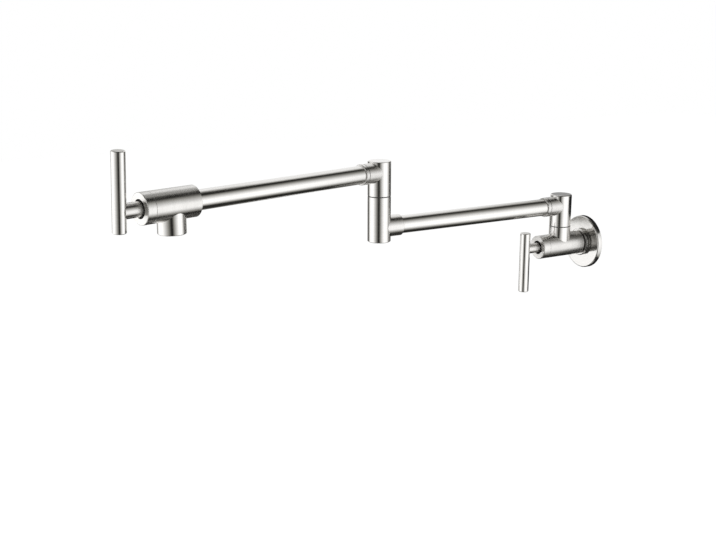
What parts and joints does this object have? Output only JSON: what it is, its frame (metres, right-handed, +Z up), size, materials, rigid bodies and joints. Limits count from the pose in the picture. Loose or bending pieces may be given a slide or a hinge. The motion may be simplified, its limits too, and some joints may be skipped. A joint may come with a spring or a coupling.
{
  "type": "wall mounted pot filler",
  "caption": "Wall mounted pot filler tap with a round wall flange, two swinging arms joined by upright posts, a lever valve at each end and a downward outlet.",
  "frame": {"origin": "centre of the flange's back face, on the wall plane, at the mouth of the inlet thread", "axes": "+Z up, +Y into the wall along the inlet's axis; the filler reaches out along -Y"},
  "size_m": [0.1122, 0.5862, 0.2083],
  "materials": {
    "brushed_nickel": "fine brushed",
    "polished_nickel": "satin polished",
    "cartridge_brass": "machined",
    "screw_steel": "machined",
    "ceramic_disc": "lapped",
    "rubber_seal": "matte",
    "bearing_plastic": "matte",
    "aerator_plastic": "satin"
  },
  "bodies": {
    "wall_side": {"wall_flange": "brushed_nickel", "flange_gasket": "rubber_seal", "rear_collar": "brushed_nickel", "collar_grub_screw": "screw_steel", "inner_valve_body": "brushed_nickel", "riser_spigot": "cartridge_brass", "riser_seals": "rubber_seal", "riser_glide_washer": "bearing_plastic", "inner_seat_seal": "rubber_seal", "inner_fixed_disc": "ceramic_disc", "inner_cartridge_housing": "cartridge_brass", "inner_housing_seal": "rubber_seal", "inner_bonnet_cap": "brushed_nickel"},
    "inner_handle": {"inner_moving_disc": "ceramic_disc", "inner_spindle": "cartridge_brass", "inner_spindle_seals": "rubber_seal", "inner_spindle_clip": "screw_steel", "inner_lever_rod": "polished_nickel", "inner_lever_stem": "brushed_nickel", "inner_lever_grub_screw": "screw_steel"},
    "inner_arm": {"riser_bearing": "bearing_plastic", "riser_retaining_screw": "screw_steel", "riser_head": "brushed_nickel", "inner_arm_collar": "brushed_nickel", "inner_arm_tube": "brushed_nickel", "middle_post_lower": "brushed_nickel", "post_spigot": "cartridge_brass", "post_seals": "rubber_seal", "post_glide_washer": "bearing_plastic"},
    "outer_arm": {"post_bearing": "bearing_plastic", "post_retaining_screw": "screw_steel", "middle_post_upper": "brushed_nickel", "outer_arm_collar": "brushed_nickel", "outer_arm_tube": "brushed_nickel", "outer_valve_body": "brushed_nickel", "aerator_washer": "rubber_seal", "aerator_cage": "aerator_plastic", "aerator_screen": "aerator_plastic", "outer_seat_seal": "rubber_seal", "outer_fixed_disc": "ceramic_disc", "outer_cartridge_housing": "cartridge_brass", "outer_housing_seal": "rubber_seal", "outer_bonnet_cap": "brushed_nickel"},
    "outer_handle": {"outer_moving_disc": "ceramic_disc", "outer_spindle": "cartridge_brass", "outer_spindle_seals": "rubber_seal", "outer_spindle_clip": "screw_steel", "outer_lever_rod": "polished_nickel", "outer_lever_stem": "brushed_nickel", "outer_lever_grub_screw": "screw_steel"}
  },
  "joints": [
    {"name": "riser_swivel", "type": "hinge", "parent": "wall_side", "child": "inner_arm", "pos_m": [0, -0.0387, 0.0463], "axis": [0, 0, 1], "range_deg": [-90, 90]},
    {"name": "middle_swivel", "type": "hinge", "parent": "inner_arm", "child": "outer_arm", "pos_m": [0, -0.2803, 0.1045], "axis": [0, 0, 1], "continuous": true},
    {"name": "inner_lever_turn", "type": "hinge", "parent": "wall_side", "child": "inner_handle", "pos_m": [0, -0.0698, 0], "axis": [0, -1, 0], "range_deg": [0, 90]},
    {"name": "outer_lever_turn", "type": "hinge", "parent": "outer_arm", "child": "outer_handle", "pos_m": [0.06716, -0.56005, 0.1045], "axis": [0.2334, -0.9724, 0], "range_deg": [0, 90]}
  ]
}
